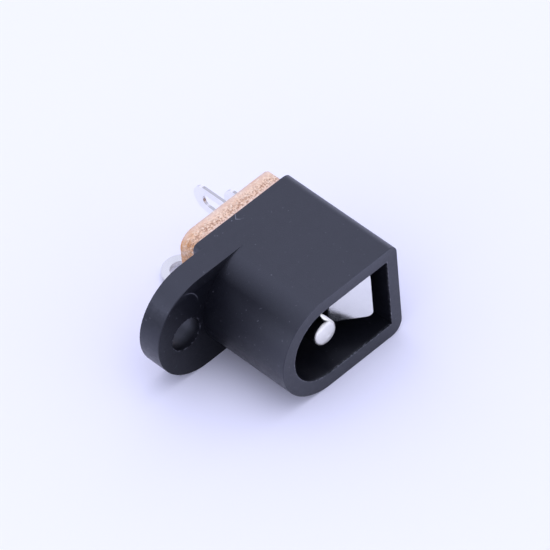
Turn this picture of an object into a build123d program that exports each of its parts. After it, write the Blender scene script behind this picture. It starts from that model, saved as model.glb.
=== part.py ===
from build123d import *
import os

# Panel jack for a round low-voltage plug: a moulded D-shaped barrel with one screw ear, a
# sheet-metal spring for the plug's sleeve, a riveted centre pin and an insulating back board.
# Millimetres. The origin is on the pin's axis, at the front of its shoulder, where a plug stops.
# +X points to the barrel's flat side, +Y to the solder lugs, +Z up. The mouth faces -Y.

# Plug that the jack takes
plug_sleeve_radius = 2.75

# Barrel
body_height = 9.0
flat_reach = 7.38
barrel_length = 10.8
top_corner_radius = 0.78
bottom_corner_radius = 1.15
front_edge_radius = 0.05

# Cavity
wall_top = 1.1
wall_bottom = 1.3
wall_flat = 1.04
wall_round = 1.2
pin_offset = 0.47

# Narrower window for the contacts at the cavity's back
window_depth = 1.8
window_wall_left = 0.9
window_wall_flat = 1.34
window_corner_radius = 1.5

# Screw ear
ear_reach = 4.5
ear_thickness = 1.97
screw_hole_inset = 2.77
screw_hole_radius = 1.38

# Squared rear block behind the ear
block_depth = 0.65
block_left = 2.56
block_corner_radius = 0.48

# Back board
board_thickness = 1.42
board_left = 2.62
board_inset_flat = 0.79
board_left_corner_radius = 1.3
board_flat_corner_radius = 0.6
board_edge_radius = 0.12

# Posts staked flush in the board
post_radius = 0.4
post_flare = 0.25
post_flare_depth = 0.4
upper_post_inset_x = 1.01
upper_post_inset_z = 0.95
lower_post_inset_x = 1.45
lower_post_inset_z = 0.9

# Centre pin
pin_radius = 1.05
pin_recess = 0.4
pin_edge_radius = 0.38
pin_crown_radius = 2.3
pin_shoulder_radius = 1.5
pin_shoulder_thickness = 0.5
pin_tail_radius = 0.7
rivet_radius = 1.1
rivet_height = 0.45

# Pin terminal, bent from a strip
terminal_thickness = 0.4
terminal_eye_radius = 1.5
terminal_strip_width = 2.4
terminal_shift = -0.2
terminal_rise = 0.2
terminal_bend = 0.3
terminal_lug_radius = 1.5
terminal_hole_radius = 0.85
terminal_reach = 6.54

# Sleeve spring
spring_thickness = 0.25
spring_lug_x = 3.43
spring_lug_width = 2.4
spring_lug_reach = 6.98
spring_slot_height = 1.1
spring_slot_length = 2.4
spring_slot_inset = 0.95
spring_arm_width = 3.3
spring_head_clearance = 0.4
spring_head_depth = 4.2
spring_shoulder_radius = 0.6
spring_root = 0.9
spring_squeeze = 0.88
spring_hump_depth = 2.52
spring_hump_radius = 0.2
spring_lead_gap = 1.245
spring_lead_depth = 0.54
spring_corner_radius = 0.5

# Switch contact
switch_thickness = 0.25
switch_width = 2.4
switch_rise = 0.9
switch_lug_reach = 5.85
switch_slot_height = 1.0
switch_slot_length = 2.0
switch_slot_inset = 0.95
switch_hook_depth = 1.55
switch_hook_rise = 1.1
switch_hook_width = 0.45
switch_bend = 0.3
switch_root = 0.3

# Clearances
slot_clearance = 0.05
hole_clearance = 0.05
contact_gap = 0.02
arm_clearance = 0.15

# Places that follow from the sizes above
cavity_height = body_height - wall_top - wall_bottom
cavity_radius = cavity_height / 2
z_bottom = -wall_bottom - cavity_height / 2
z_top = z_bottom + body_height
z_middle = (z_bottom + z_top) / 2
x_round = -pin_offset
x_flat = x_round + flat_reach
x_cavity_round = x_round - body_height / 2 + wall_round + cavity_radius
x_cavity_flat = x_flat - wall_flat
x_ear = x_round - ear_reach
x_block_left = x_round - block_left
x_window_flat = x_flat - window_wall_flat
x_board_left = x_round - board_left
x_board_flat = x_flat - board_inset_flat
y_joint = pin_shoulder_thickness
y_front = y_joint - barrel_length
y_ear_back = y_joint - block_depth
y_window = y_joint - window_depth
y_board_back = y_joint + board_thickness
y_terminal_back = y_board_back + terminal_thickness
upper_post = (x_block_left + upper_post_inset_x, z_top - upper_post_inset_z)
lower_post = (x_board_flat - lower_post_inset_x, z_bottom + lower_post_inset_z)
x_screw_hole = x_ear - body_height / 2 + screw_hole_inset
spring_head_top = cavity_radius - spring_head_clearance
spring_hump_x = plug_sleeve_radius - spring_squeeze + spring_thickness / 2
spring_lead_x = x_cavity_flat - spring_lead_gap
switch_lug_x = x_window_flat - switch_thickness
switch_z = switch_rise + switch_width / 2 - cavity_radius


def prism(sketch, y_from, y_to):
    """A solid whose X-Z outline is the sketch, between two distances along Y."""
    return extrude(Plane.XZ.offset(-y_to) * sketch, amount=y_to - y_from)


def side_prism(sketch, x_from, x_to):
    """A solid whose Y-Z outline is the sketch, between two distances along X."""
    return extrude(Plane.YZ.offset(x_from) * sketch, amount=x_to - x_from)


def flat_prism(sketch, z_from, z_to):
    """A solid whose X-Y outline is the sketch, between two heights."""
    return extrude(Plane.XY.offset(z_from) * sketch, amount=z_to - z_from)


def rectangle(x_from, x_to, y_from, y_to):
    """A rectangle by its limits in its own sketch plane."""
    centre = ((x_from + x_to) / 2, (y_from + y_to) / 2)
    return Pos(*centre) * Rectangle(x_to - x_from, y_to - y_from)


def d_outline(x_axis, z_axis, radius, x_right):
    """Half a circle on the left, closed by a straight top, bottom and flat side."""
    half_disc = Pos(x_axis, z_axis) * Circle(radius)
    return half_disc + rectangle(x_axis, x_right, z_axis - radius, z_axis + radius)


def round_flat_side(outline, top_radius, bottom_radius):
    """The outline with its two corners on the flat side rounded."""
    high = outline.vertices().sort_by(Axis.X)[-2:].sort_by(Axis.Y)[-1]
    outline = fillet(high, top_radius)
    low = outline.vertices().sort_by(Axis.Y)[:2].sort_by(Axis.X)[-1]
    return fillet(low, bottom_radius)


def lug_outline(y_root, y_tip, z_axis, width):
    """A Y-Z strip whose free end is a half circle."""
    y_axis = y_tip - width / 2
    strip = rectangle(y_root, y_axis, z_axis - width / 2, z_axis + width / 2)
    return strip + Pos(y_axis, z_axis) * Circle(width / 2)


def solder_slot(y_tip, z_axis, inset, length, height):
    """The long wire hole in a lug, measured from the lug's tip."""
    return Pos(y_tip - inset - length / 2, z_axis) * SlotOverall(length, height)


def staked_post(x, z):
    """A round post whose melted end fills the countersink in the board's back."""
    shank = prism(Pos(x, z) * Circle(post_radius), y_joint, y_board_back)
    neck = Plane.XZ.offset(post_flare_depth - y_board_back) * Pos(x, z) * Circle(post_radius)
    face = Plane.XZ.offset(-y_board_back) * Pos(x, z) * Circle(post_radius + post_flare)
    return shank + loft([neck, face])


def make_housing():
    barrel_outline = d_outline(x_round, z_middle, body_height / 2, x_flat)
    barrel_outline = round_flat_side(barrel_outline, top_corner_radius, bottom_corner_radius)
    barrel = prism(barrel_outline, y_front, y_ear_back)
    barrel = fillet(barrel.faces().sort_by(Axis.Y)[0].edges(), front_edge_radius)

    ear_outline = d_outline(x_ear, z_middle, body_height / 2, x_round)
    ear = prism(ear_outline, y_ear_back - ear_thickness, y_ear_back)
    screw_hole = Pos(x_screw_hole, z_middle) * Circle(screw_hole_radius)
    ear -= prism(screw_hole, y_ear_back - ear_thickness, y_ear_back)

    block_outline = rectangle(x_block_left, x_flat, z_bottom, z_top)
    left_corners = block_outline.vertices().sort_by(Axis.X)[:2]
    block_outline = fillet(left_corners, block_corner_radius)
    block_outline = round_flat_side(block_outline, top_corner_radius, bottom_corner_radius)
    block = prism(block_outline, y_ear_back, y_joint)

    cavity = prism(d_outline(x_cavity_round, 0, cavity_radius, x_cavity_flat), y_front, y_window)
    window_outline = rectangle(x_block_left + window_wall_left, x_window_flat, -cavity_radius, cavity_radius)
    left_corners = window_outline.vertices().sort_by(Axis.X)[:2]
    window = prism(fillet(left_corners, window_corner_radius), y_window, y_joint)
    body = barrel + ear + block - cavity - window
    for x, z in (upper_post, lower_post):
        body += staked_post(x, z)
    return body


def make_back_board():
    outline = rectangle(x_board_left, x_board_flat, z_bottom, z_top)
    left_corners = outline.vertices().sort_by(Axis.X)[:2]
    outline = fillet(left_corners, board_left_corner_radius)
    outline = round_flat_side(outline, board_flat_corner_radius, board_flat_corner_radius)
    board = prism(outline, y_joint, y_board_back)
    board = fillet(board.faces().sort_by(Axis.Y)[-1].edges(), board_edge_radius)
    board -= prism(Circle(pin_tail_radius + hole_clearance), y_joint, y_board_back)
    for x_lug, thickness, z_lug, width in (
        (spring_lug_x, spring_thickness, 0, spring_lug_width),
        (switch_lug_x, switch_thickness, switch_z, switch_width),
    ):
        slot = rectangle(
            x_lug - slot_clearance,
            x_lug + thickness + slot_clearance,
            z_lug - width / 2 - slot_clearance,
            z_lug + width / 2 + slot_clearance,
        )
        board -= prism(slot, y_joint, y_board_back)
    for x, z in (upper_post, lower_post):
        board -= staked_post(x, z)
    return board


def make_centre_pin():
    # The rounded edge runs smoothly into the tip's crown.
    y_tip = y_front + pin_recess
    x_edge = pin_radius - pin_edge_radius
    reach = pin_crown_radius - pin_edge_radius
    drop = (reach**2 - x_edge**2) ** 0.5
    y_edge = y_tip + pin_crown_radius - drop
    share = pin_crown_radius / reach
    meeting = (x_edge * share, y_tip + pin_crown_radius - drop * share)
    nose = RadiusArc((0, y_tip), meeting, -pin_crown_radius)
    edge = TangentArc((pin_radius, y_edge), meeting, tangent=(0, -1))
    side = Polyline(
        (pin_radius, y_edge),
        (pin_radius, 0),
        (pin_shoulder_radius, 0),
        (pin_shoulder_radius, y_joint),
        (pin_tail_radius, y_joint),
        (pin_tail_radius, y_terminal_back),
        (rivet_radius, y_terminal_back),
    )
    crown = (0, y_terminal_back + rivet_height)
    crown_radius = (rivet_radius**2 + rivet_height**2) / (2 * rivet_height)
    head = RadiusArc((rivet_radius, y_terminal_back), crown, -crown_radius)
    axis = Line(crown, (0, y_tip))
    return revolve(make_face(nose + edge + side + head + axis), Axis.Y)


def make_pin_terminal():
    z_lug_low = z_bottom + terminal_rise
    z_lug_high = z_lug_low + terminal_thickness
    x_left = terminal_shift - terminal_strip_width / 2
    x_right = terminal_shift + terminal_strip_width / 2
    y_bend = y_terminal_back + terminal_bend
    z_bend = z_lug_high + terminal_bend

    strip = prism(Circle(terminal_eye_radius), y_board_back, y_terminal_back)
    strip += prism(rectangle(x_left, x_right, z_bend, 0), y_board_back, y_terminal_back)
    strip -= prism(Circle(pin_tail_radius + hole_clearance), y_board_back, y_terminal_back)

    ring = Pos(y_bend, z_bend) * (Circle(terminal_bend + terminal_thickness) - Circle(terminal_bend))
    quarter = rectangle(y_board_back, y_bend, z_lug_low, z_bend)
    strip += side_prism(ring & quarter, x_left, x_right)

    y_eye = y_joint + terminal_reach - terminal_lug_radius
    eye = Pos(terminal_shift, y_eye) * Circle(terminal_lug_radius)
    hole = Pos(terminal_shift, y_eye) * Circle(terminal_hole_radius)
    lug = rectangle(x_left, x_right, y_bend, y_eye) + eye - hole
    return strip + flat_prism(lug, z_lug_low, z_lug_high)


def make_sleeve_spring():
    x_line = spring_lug_x + spring_thickness / 2
    lead_end = (spring_lead_x, y_front + spring_lead_depth)
    hump = (spring_hump_x, y_front + spring_hump_depth)
    y_tip = y_joint + spring_lug_reach
    path = FilletPolyline(
        (x_line, y_tip),
        (x_line, y_joint - spring_root),
        hump,
        lead_end,
        radius=spring_hump_radius,
    )
    plan = trace(path, spring_thickness)
    sheet = flat_prism(plan, -spring_arm_width / 2, spring_head_top)
    free_end = sheet.faces().filter_by(Axis.Z, reverse=True).sort_by(Axis.Y)[0]
    corners = free_end.edges().filter_by(GeomType.LINE).filter_by(Axis.Z, reverse=True)
    sheet = fillet(corners, spring_corner_radius)

    y_head = y_front + spring_head_depth
    head = rectangle(y_front, y_head, -spring_arm_width / 2, spring_head_top)
    arm = rectangle(y_front, y_joint, -spring_arm_width / 2, spring_arm_width / 2)
    side = head + arm
    shoulder = side.vertices().filter_by(lambda v: abs(v.X - y_head) < 0.001)
    shoulder_step = spring_head_top - spring_arm_width / 2
    side = fillet(shoulder, min(spring_shoulder_radius, 0.45 * shoulder_step))
    side += lug_outline(y_joint, y_tip, 0, spring_lug_width)
    side -= solder_slot(y_tip, 0, spring_slot_inset, spring_slot_length, spring_slot_height)
    return sheet & side_prism(side, x_round, x_cavity_flat)


def make_switch_contact():
    z_low = switch_z - switch_width / 2
    z_high = switch_z + switch_width / 2
    y_tip = y_joint + switch_lug_reach
    y_hook = y_joint - switch_hook_depth
    y_hook_front = y_hook - switch_thickness
    x_bend = switch_lug_x - switch_bend
    y_bend = y_hook + switch_bend

    blade_outline = lug_outline(y_bend, y_tip, switch_z, switch_width)
    blade_outline -= solder_slot(y_tip, switch_z, switch_slot_inset, switch_slot_length, switch_slot_height)
    blade = side_prism(blade_outline, switch_lug_x, x_window_flat)

    # The bend turns the blade from the flat side to a plate across the cavity.
    ring = Pos(x_bend, y_bend) * (Circle(switch_bend + switch_thickness) - Circle(switch_bend))
    quarter = rectangle(x_bend, x_window_flat, y_hook_front, y_bend)
    bend = flat_prism(ring & quarter, z_low, z_high)

    # The hook passes under the spring's arm and stands on its plug side.
    x_line = spring_lug_x + spring_thickness / 2
    y_arm_bend = y_joint - spring_root
    slope = (spring_hump_x - x_line) / (y_front + spring_hump_depth - y_arm_bend)
    x_touch = x_line + slope * (y_hook_front - y_arm_bend) - spring_thickness / 2 - contact_gap
    x_hook_left = x_touch - switch_hook_width
    z_arm_low = -spring_arm_width / 2 - arm_clearance
    hook_outline = rectangle(x_hook_left, x_bend, z_low, z_arm_low)
    hook_outline += rectangle(x_hook_left, x_touch, z_low, switch_hook_rise)
    hook_outline += rectangle(x_bend - switch_root, x_bend, z_low, z_high)
    return blade + bend + prism(hook_outline, y_hook_front, y_hook)


def write_step(shape, name):
    shape.label = name
    export_step(shape, "parts/" + name + ".step")


os.makedirs("parts", exist_ok=True)
write_step(make_housing(), "housing")
write_step(make_back_board(), "back_board")
write_step(make_centre_pin(), "centre_pin")
write_step(make_pin_terminal(), "pin_terminal")
write_step(make_sleeve_spring(), "sleeve_spring")
write_step(make_switch_contact(), "switch_contact")
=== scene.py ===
import math
from functools import reduce

import bpy
from mathutils import Matrix, Vector


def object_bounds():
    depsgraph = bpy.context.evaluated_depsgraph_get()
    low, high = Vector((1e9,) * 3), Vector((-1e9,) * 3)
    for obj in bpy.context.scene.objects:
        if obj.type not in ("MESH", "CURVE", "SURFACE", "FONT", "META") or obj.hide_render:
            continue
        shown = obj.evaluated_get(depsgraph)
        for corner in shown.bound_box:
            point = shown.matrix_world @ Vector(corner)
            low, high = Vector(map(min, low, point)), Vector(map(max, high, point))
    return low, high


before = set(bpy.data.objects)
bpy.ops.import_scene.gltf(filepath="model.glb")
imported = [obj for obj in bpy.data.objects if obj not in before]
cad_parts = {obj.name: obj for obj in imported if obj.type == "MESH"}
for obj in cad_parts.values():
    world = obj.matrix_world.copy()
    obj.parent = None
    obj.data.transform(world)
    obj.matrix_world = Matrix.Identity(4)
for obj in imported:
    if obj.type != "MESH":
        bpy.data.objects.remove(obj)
cad_low, cad_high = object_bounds()

MM = 0.001

# Camera, solved from the photograph: distances in metres, angles in degrees
CAMERA_AIM = Vector((1.284, -3.211, 0.516)) * MM
CAMERA_DISTANCE = 0.4873
CAMERA_AZIMUTH = -40.70
CAMERA_ELEVATION = 47.19
CAMERA_ROLL = -5.58
CAMERA_LENS = 440.7
SENSOR_WIDTH = 36.0

# Places on the part that its finishes follow, in metres
BOARD_FRONT = 0.5 * MM
BOARD_BACK = 1.92 * MM
BARREL_TOP = 4.4 * MM
BARREL_FRONT = -10.3 * MM
EAR_FRONT = -2.12 * MM
CORNER_X = -4.4 * MM
PIN_NOSE = -9.55 * MM
CAVITY_AXIS = -0.47 * MM
CAVITY_RADIUS = 3.3 * MM
CAVITY_FLAT = 5.87 * MM
HOLE_X = -6.7 * MM
HOLE_Z = -0.1 * MM
HOLE_RADIUS = 1.38 * MM
MOULD_RING_X = -6.77 * MM
MOULD_RING_Z = 2.4 * MM
MOULD_RING_RADIUS = 1.49 * MM

# Marks on the top by the board: start, end and width, seen from above, in X and Y millimetres
SCUFF = [
    ((1.21, 0.44), (0.91, 0.07), 0.045),
    ((0.91, 0.07), (1.11, -0.16), 0.05),
    ((1.11, -0.16), (1.35, -0.26), 0.04),
]
PITS = [
    ((0.57, 0.18), (0.62, 0.18), 0.05),
    ((-1.28, 0.05), (-1.24, 0.02), 0.07),
    ((-1.15, -0.09), (-1.12, -0.12), 0.05),
]

# The housing's skin, and its gloss at places where it isn't even: painted shade in the ear's corner, the
# hole and the cavity, a painted sheen on top, and painted highlight and shade bands round the ear's edge
SKIN_DARK = (0.0045, 0.0048, 0.007)
SKIN_LIGHT = (0.0062, 0.0066, 0.0095)
SKIN_GRAIN = (0.011, 0.0115, 0.016)
# Pale marks: dust, a scuff, pits, burrs and specks, and a painted highlight on the moulded ring
SKIN_MARKS_AND_HIGHLIGHT = (0.34, 0.35, 0.40)
SKIN_TINT = (0.84, 0.89, 1.0)
SKIN_BUMP = 0.000006
GLOSS_PAINTED_SHEEN_ON_TOP = 0.84
GLOSS_PAINTED_SHADE_IN_CAVITY = 0.3
GLOSS_PAINTED_SHADE_IN_HOLE = 0.08
CORNER_PAINTED_SHADE_REACH = 9.0 * MM
EDGE_PAINTED_BANDS_TOP = 5.0 * MM
EDGE_PAINTED_BANDS_WANDER = 1.0 * MM

# The board's laminate
LAMINATE_BLOTCH = (0.68, 0.38, 0.20)
LAMINATE_BURN = (0.64, 0.29, 0.08)
LAMINATE_SPECK = (0.32, 0.14, 0.07)
LAMINATE_FIBRE = (0.95, 0.83, 0.64)
LAMINATE_ROUGHNESS = 0.62
LAMINATE_BUMP = 0.00003

# Plated metal, and the lugs' sheets: the axis across each, and its two faces
PIN_COLOUR = (0.83, 0.82, 0.74)
CONTACT_COLOUR = (0.93, 0.93, 0.88)
CUT_EDGE_COLOUR = (0.68, 0.67, 0.64)
POLISHED_ROUGHNESS = 0.05
METAL_BUMP = 0.000002
LUG_SHEETS = [("X", 3.43 * MM, 3.68 * MM), ("X", 5.32 * MM, 5.57 * MM), ("Z", -4.4 * MM, -4.0 * MM)]

# Stage, in metres and watts
FLOOR_COLOUR = (0.86, 0.864, 0.93)
FLOOR_ROUGHNESS = 0.9
FLOOR_HALF = 0.6
LAMP_PLACE = Vector((0.03, -0.09, 0.4))
LAMP_SIZE = 0.28
LAMP_POWER = 0.1
WORLD_COLOUR = (0.755, 0.77, 1.0)
WORLD_STRENGTH = 2.8
# The room's share of light by the sine of the height above the horizon
WORLD_LEVELS = [
    (0.0, 0.6), (0.42, 0.6), (0.56, 0.3), (0.74, 0.37), (0.85, 0.42), (0.93, 0.6), (1.0, 0.8)
]


# Sockets of a colour mix node: factor, first colour, second colour and result
MIX_FACTOR = 0
MIX_FIRST = 6
MIX_SECOND = 7
MIX_RESULT = 2


def grey(level):
    return (level, level, level)


class Nodes:
    """A short way to write a node tree."""

    def __init__(self, tree, coordinate):
        self.tree = tree
        self.place = self.add("ShaderNodeTexCoord").outputs[coordinate]

    def add(self, kind, **settings):
        node = self.tree.nodes.new(kind)
        for key, value in settings.items():
            setattr(node, key, value)
        return node

    def link(self, source, target):
        self.tree.links.new(source, target)

    def fill(self, socket, value):
        """Links a socket, or sets its value; a colour gets its fourth part."""
        if isinstance(value, bpy.types.NodeSocket):
            self.link(value, socket)
        elif isinstance(value, tuple) and len(socket.default_value) == 4:
            socket.default_value = (*value, 1.0)
        else:
            socket.default_value = value

    def noise(self, scale, detail=3.0, roughness=0.5):
        """A noise value; scale is in features per metre."""
        texture = self.add("ShaderNodeTexNoise")
        texture.inputs["Scale"].default_value = scale
        texture.inputs["Detail"].default_value = detail
        texture.inputs["Roughness"].default_value = roughness
        self.link(self.place, texture.inputs["Vector"])
        return texture.outputs["Fac"]

    def ramp(self, value, stops):
        """A colour ramp; stops are (position, (r, g, b)) or (position, grey)."""
        node = self.add("ShaderNodeValToRGB")
        elements = node.color_ramp.elements
        while len(elements) < len(stops):
            elements.new(0.5)
        for element, (position, colour) in zip(elements, stops):
            element.position = position
            rgb = colour if isinstance(colour, tuple) else grey(colour)
            element.color = (*rgb, 1.0)
        self.link(value, node.inputs["Fac"])
        return node.outputs["Color"]

    def mix(self, factor, first, second):
        node = self.add("ShaderNodeMix", data_type="RGBA")
        for index, value in ((MIX_FACTOR, factor), (MIX_FIRST, first), (MIX_SECOND, second)):
            self.fill(node.inputs[index], value)
        return node.outputs[MIX_RESULT]

    def math(self, operation, first, second=0.0):
        node = self.add("ShaderNodeMath", operation=operation)
        self.fill(node.inputs[0], first)
        self.fill(node.inputs[1], second)
        return node.outputs[0]

    def dot(self, vector):
        """The place's distance along a direction."""
        node = self.add("ShaderNodeVectorMath", operation="DOT_PRODUCT")
        self.link(self.place, node.inputs[0])
        node.inputs[1].default_value = vector
        return node.outputs["Value"]

    def axis(self, name):
        """The X, Y or Z place, in metres."""
        node = self.add("ShaderNodeSeparateXYZ")
        self.link(self.place, node.inputs[0])
        return node.outputs[name]

    def spread(self, value, low, high):
        """The value's share of the way between two limits, from 0 to 1."""
        node = self.add("ShaderNodeMapRange")
        node.inputs["From Min"].default_value = low
        node.inputs["From Max"].default_value = high
        self.link(value, node.inputs["Value"])
        return node.outputs["Result"]

    def off(self, value, centre):
        """The distance of a value from a centre value."""
        return self.math("ABSOLUTE", self.math("SUBTRACT", value, centre))

    def near(self, value, centre, reach):
        """1 at the centre value, falling to 0 at the reach on both sides."""
        return self.spread(self.off(value, centre), reach, 0.0)

    def inside(self, value, low, high):
        """1 between two limits, 0 at them and outside."""
        half = (high - low) / 2
        return self.spread(self.off(value, (low + high) / 2), 0.96 * half, 0.84 * half)

    def away(self, first, first_centre, second, second_centre):
        """The distance from a centre in a plane, given by the places along two axes."""
        across = self.math("SUBTRACT", first, first_centre)
        along = self.math("SUBTRACT", second, second_centre)
        return self.math("SQRT", self.math("ADD", self.both(across, across), self.both(along, along)))

    def both(self, first, second):
        return self.math("MULTIPLY", first, second)

    def either(self, first, second):
        return self.math("MAXIMUM", first, second)

    def stroke(self, start, end, width):
        """A short mark seen from above, from start to end in X and Y millimetres."""
        a, b = (Vector((*point, 0.0)) * MM for point in (start, end))
        run = (b - a).normalized()
        side = Vector((-run.y, run.x, 0.0))
        middle = (a + b) / 2
        half = (b - a).length / 2 + width * MM / 2
        inside = self.math("GREATER_THAN", self.near(self.dot(run), middle.dot(run), half), 0.0)
        return self.both(inside, self.near(self.dot(side), middle.dot(side), width * MM))


class Finish(Nodes):
    """A material's node tree round its surface shader."""

    def __init__(self, name):
        self.material = bpy.data.materials.new(name)
        self.material.use_nodes = True
        super().__init__(self.material.node_tree, "Object")
        self.shader = self.tree.nodes["Principled BSDF"]

    def set(self, name, value):
        self.fill(self.shader.inputs[name], value)

    def bump(self, height, distance):
        node = self.add("ShaderNodeBump")
        node.inputs["Distance"].default_value = distance
        self.link(height, node.inputs["Height"])
        self.link(node.outputs["Normal"], self.shader.inputs["Normal"])


def cavity_edge(n, x, z):
    """The distance out from the cavity's D-shaped outline, below 0 inside it."""
    left = n.math("MINIMUM", n.math("SUBTRACT", x, CAVITY_AXIS), 0.0)
    round_side = n.math("SUBTRACT", n.away(left, 0.0, z, 0.0), CAVITY_RADIUS)
    return n.either(round_side, n.math("SUBTRACT", x, CAVITY_FLAT))


def lip_dust(n, y, edge):
    """Specks of pale dust on the lip between the mouth and the cavity."""
    front = n.spread(y, BARREL_FRONT + 0.18 * MM, BARREL_FRONT + 0.05 * MM)
    lip = n.both(n.near(edge, 0.0, 0.1 * MM), front)
    return n.both(lip, n.ramp(n.noise(5200, 3, 0.7), [(0.48, 0.0), (0.66, 0.5)]))


def top_marks(n, z):
    """A light scuff and three pits on the top by the board."""
    marks = reduce(n.either, (n.stroke(*mark) for mark in SCUFF + PITS))
    marks = n.both(marks, n.math("GREATER_THAN", z, BARREL_TOP - 0.02 * MM))
    return n.both(marks, n.ramp(n.noise(2600, 3), [(0.35, 0.1), (0.62, 0.6)]))


def mould_ring_highlight(n, x, y, z):
    """A quarter of a faint moulded ring on the ear's front, drawn pale as a painted highlight."""
    away = n.away(x, MOULD_RING_X, z, MOULD_RING_Z)
    ring = n.both(n.near(away, MOULD_RING_RADIUS, 0.06 * MM), n.near(y, EAR_FRONT, 0.02 * MM))
    quarter = n.both(n.spread(x, -6.8 * MM, -6.1 * MM), n.spread(z, 2.2 * MM, 2.8 * MM))
    patchy = n.ramp(n.noise(1900, 3), [(0.4, 0.06), (0.6, 0.26)])
    return n.both(n.both(ring, quarter), patchy)


def hole_burrs(n, y, hole):
    """Small pale burrs round the screw hole's front."""
    burrs = n.both(n.near(hole, HOLE_RADIUS, 0.09 * MM), n.near(y, EAR_FRONT, 0.1 * MM))
    return n.both(burrs, n.ramp(n.noise(3900, 3, 0.6), [(0.5, 0.0), (0.62, 0.3)]))


def housing_gloss_as_painted_light(n, x, y, z, edge, hole):
    """The skin's gloss: dull in the ear's corner, the hole and the cavity as painted shade, and even on
    top, raised as a painted sheen.
    """
    # Painted shade: the gloss falls towards the corner between the ear and the barrel.
    corner = n.away(x, CORNER_X, y, EAR_FRONT)
    gloss_as_painted_light = n.ramp(n.spread(corner, 0.0, CORNER_PAINTED_SHADE_REACH), [(0.1, 0.1), (0.45, 0.21), (0.9, 0.64)])

    # Round the ear's edge the gloss goes in bands by height, with a wandering border: a painted highlight
    # high on the edge and painted shade bands below it.
    wander = n.math("SUBTRACT", n.noise(1600, 4, 0.6), 0.5)
    height = n.math("ADD", z, n.math("MULTIPLY", wander, EDGE_PAINTED_BANDS_WANDER))
    bands = n.ramp(
        n.spread(height, 0.0, EDGE_PAINTED_BANDS_TOP),
        [(0.1, 0.63), (0.3, 0.54), (0.46, 0.38), (0.54, 0.5), (0.63, 0.9), (0.7, 1.0)],
    )
    gloss_as_painted_light = n.mix(n.spread(y, EAR_FRONT + 0.02 * MM, EAR_FRONT + 0.15 * MM), gloss_as_painted_light, bands)
    # Painted sheen: the gloss is raised on the top.
    gloss_as_painted_light = n.mix(n.spread(z, BARREL_TOP - 1.0 * MM, BARREL_TOP - 0.1 * MM), gloss_as_painted_light, grey(GLOSS_PAINTED_SHEEN_ON_TOP))
    # Painted shade: the gloss is lowered inside the screw hole.
    in_hole = n.both(
        n.spread(hole, HOLE_RADIUS + 0.1 * MM, HOLE_RADIUS + 0.05 * MM),
        n.spread(y, EAR_FRONT + 1.1 * MM, EAR_FRONT + 0.3 * MM),
    )
    gloss_as_painted_light = n.mix(in_hole, gloss_as_painted_light, grey(GLOSS_PAINTED_SHADE_IN_HOLE))
    # Painted shade: the gloss is lowered inside the cavity.
    in_cavity = n.both(
        n.spread(edge, 0.4 * MM, 0.2 * MM),
        n.spread(y, BARREL_FRONT, BARREL_FRONT + 0.3 * MM),
    )
    return n.mix(in_cavity, gloss_as_painted_light, grey(GLOSS_PAINTED_SHADE_IN_CAVITY))


def housing_plastic():
    """Black moulded plastic: a satin skin with fine grain, small pale marks and uneven gloss; the moulded
    ring's mark is a painted highlight, and the gloss carries painted shade and sheen.
    """
    n = Finish("housing_plastic")
    x, y, z = (n.axis(name) for name in "XYZ")
    edge = cavity_edge(n, x, z)
    hole = n.away(x, HOLE_X, z, HOLE_Z)
    grain = n.noise(11000, 2, 0.6)
    skin = n.ramp(n.noise(260, 3), [(0.35, SKIN_DARK), (0.7, SKIN_LIGHT)])
    skin = n.mix(n.ramp(grain, [(0.45, 0.0), (0.75, 0.5)]), skin, SKIN_GRAIN)
    specks = n.ramp(n.noise(3400, 2), [(0.69, 0.0), (0.8, 0.16)])
    marks = (lip_dust(n, y, edge), top_marks(n, z), mould_ring_highlight(n, x, y, z), hole_burrs(n, y, hole), specks)
    # Pale marks, with the moulded ring's painted highlight among them
    pale_marks_and_highlight = reduce(n.either, marks)
    n.set("Base Color", n.mix(pale_marks_and_highlight, skin, SKIN_MARKS_AND_HIGHLIGHT))
    n.set("Roughness", n.ramp(n.noise(2300, 5, 0.7), [(0.3, 0.29), (0.7, 0.45)]))
    n.set("Specular IOR Level", housing_gloss_as_painted_light(n, x, y, z, edge, hole))
    n.set("Specular Tint", SKIN_TINT)
    n.bump(n.math("ADD", grain, n.math("MULTIPLY", pale_marks_and_highlight, 2.0)), SKIN_BUMP)
    return n.material


def board_laminate():
    """Paper laminate: blotched faces, and an edge with bands, brown specks and pale fibres."""
    n = Finish("board_laminate")
    depth = n.spread(n.axis("Y"), BOARD_FRONT, BOARD_BACK)
    bands = n.ramp(
        depth,
        [
            (0.0, (0.78, 0.56, 0.43)),
            (0.2, (0.83, 0.59, 0.39)),
            (0.6, (0.88, 0.65, 0.45)),
            (0.8, (0.80, 0.59, 0.43)),
            (0.94, (0.63, 0.48, 0.39)),
        ],
    )
    tone = n.mix(n.ramp(n.noise(420, 5, 0.6), [(0.45, 0.0), (0.65, 0.5)]), bands, LAMINATE_BLOTCH)
    burn = n.ramp(n.noise(1500, 4), [(0.35, 0.15), (0.6, 0.9)])
    tone = n.mix(n.both(n.spread(n.axis("X"), -1.6 * MM, -2.8 * MM), burn), tone, LAMINATE_BURN)
    middle = n.ramp(depth, [(0.0, 0.4), (0.12, 0.8), (0.32, 1.0), (0.5, 0.7), (0.85, 0.0)])
    specks = n.ramp(n.noise(7600, 5, 0.7), [(0.45, 0.0), (0.57, 0.95)])
    tone = n.mix(n.both(specks, middle), tone, LAMINATE_SPECK)
    fibres = n.ramp(n.noise(4600, 4, 0.6), [(0.52, 0.0), (0.68, 0.6)])
    fibres = n.both(fibres, n.ramp(depth, [(0.0, 0.3), (0.04, 1.0), (0.95, 1.0), (1.0, 0.3)]))
    n.set("Base Color", n.mix(fibres, tone, LAMINATE_FIBRE))
    n.set("Roughness", LAMINATE_ROUGHNESS)
    n.bump(n.noise(5200, 4, 0.65), LAMINATE_BUMP)
    return n.material


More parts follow.
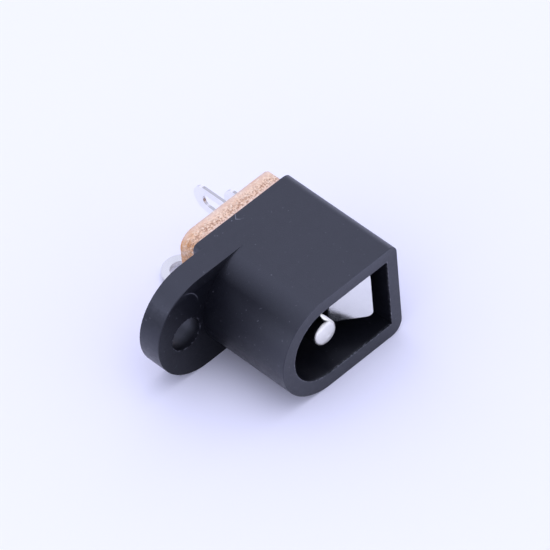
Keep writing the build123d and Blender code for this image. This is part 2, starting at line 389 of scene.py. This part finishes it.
def plated(name, colour, roughness, haze, polished_from=None, cut_edges=()):
    """Plated metal with faint marks; it can be polished behind a place in Y and dull on the lugs' edges."""
    n = Finish(name)
    n.set("Metallic", 1.0)
    dull = tuple(0.93 * part for part in colour)
    tone = n.ramp(n.noise(700, 3), [(0.3, dull), (0.7, colour)])
    rough = n.ramp(n.noise(1500, 4), [(0.3, roughness), (0.7, roughness + haze)])
    if polished_from is not None:
        polished = n.spread(n.axis("Y"), polished_from, polished_from + 0.15 * MM)
        rough = n.mix(polished, rough, grey(POLISHED_ROUGHNESS))
    if cut_edges:
        cut = reduce(n.either, (n.inside(n.axis(across), low, high) for across, low, high in cut_edges))
        cut = n.both(cut, n.math("GREATER_THAN", n.axis("Y"), BOARD_BACK))
        tone = n.mix(cut, tone, CUT_EDGE_COLOUR)
    n.set("Base Color", tone)
    n.set("Roughness", rough)
    n.bump(n.noise(6000, 3), METAL_BUMP)
    return n.material


def dress(node, material):
    """Gives a CAD node its finish."""
    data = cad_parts[node].data
    data.materials.clear()
    data.materials.append(material)


def make_floor():
    """A plain pale floor under the part."""
    z = cad_low[2]
    h = FLOOR_HALF
    mesh = bpy.data.meshes.new("floor")
    mesh.from_pydata([(-h, -h, z), (h, -h, z), (h, h, z), (-h, h, z)], [], [(0, 1, 2, 3)])
    floor = bpy.data.objects.new("floor", mesh)
    bpy.context.scene.collection.objects.link(floor)
    n = Finish("floor_card")
    n.set("Base Color", FLOOR_COLOUR)
    n.set("Roughness", FLOOR_ROUGHNESS)
    n.set("Specular IOR Level", 0.0)
    mesh.materials.append(n.material)


def make_world():
    """A soft room: bright overhead and along the horizon, dimmer between."""
    world = bpy.data.worlds.new("studio")
    bpy.context.scene.world = world
    world.use_nodes = True
    n = Nodes(world.node_tree, "Generated")
    level = n.ramp(n.axis("Z"), WORLD_LEVELS)
    background = world.node_tree.nodes["Background"]
    background.inputs["Color"].default_value = (*WORLD_COLOUR, 1.0)
    n.link(n.math("MULTIPLY", level, WORLD_STRENGTH), background.inputs["Strength"])


def make_lamp():
    """A weak round lamp above the front, aimed at the origin."""
    data = bpy.data.lights.new("key", "AREA")
    data.shape = "DISK"
    data.size = LAMP_SIZE
    data.energy = LAMP_POWER
    lamp = bpy.data.objects.new("key", data)
    lamp.location = LAMP_PLACE
    lamp.rotation_euler = (-LAMP_PLACE).to_track_quat("-Z", "Y").to_euler()
    bpy.context.scene.collection.objects.link(lamp)


def make_camera():
    """The photograph's camera, turned round its own axis by the roll."""
    azimuth = math.radians(CAMERA_AZIMUTH)
    elevation = math.radians(CAMERA_ELEVATION)
    roll = math.radians(CAMERA_ROLL)
    back = Vector(
        (
            math.sin(azimuth) * math.cos(elevation),
            -math.cos(azimuth) * math.cos(elevation),
            math.sin(elevation),
        )
    )
    level_right = Vector((0, 0, 1)).cross(back).normalized()
    level_up = back.cross(level_right)
    right = math.cos(roll) * level_right + math.sin(roll) * level_up
    up = math.cos(roll) * level_up - math.sin(roll) * level_right
    data = bpy.data.cameras.new("camera")
    data.lens = CAMERA_LENS
    data.sensor_width = SENSOR_WIDTH
    data.clip_start = 0.01
    camera = bpy.data.objects.new("camera", data)
    turn = Matrix((right, up, back)).transposed().to_4x4()
    camera.matrix_world = Matrix.Translation(CAMERA_AIM + CAMERA_DISTANCE * back) @ turn
    bpy.context.scene.collection.objects.link(camera)
    bpy.context.scene.camera = camera


pin_plate = plated("pin_plate", PIN_COLOUR, 0.34, 0.08, polished_from=PIN_NOSE)
contact_plate = plated("contact_plate", CONTACT_COLOUR, 0.12, 0.06, cut_edges=LUG_SHEETS)
dress("housing", housing_plastic())
dress("back_board", board_laminate())
dress("centre_pin", pin_plate)
for name in ("pin_terminal", "sleeve_spring", "switch_contact"):
    dress(name, contact_plate)

make_floor()
make_world()
make_lamp()
make_camera()

bpy.context.scene.view_settings.view_transform = "Standard"
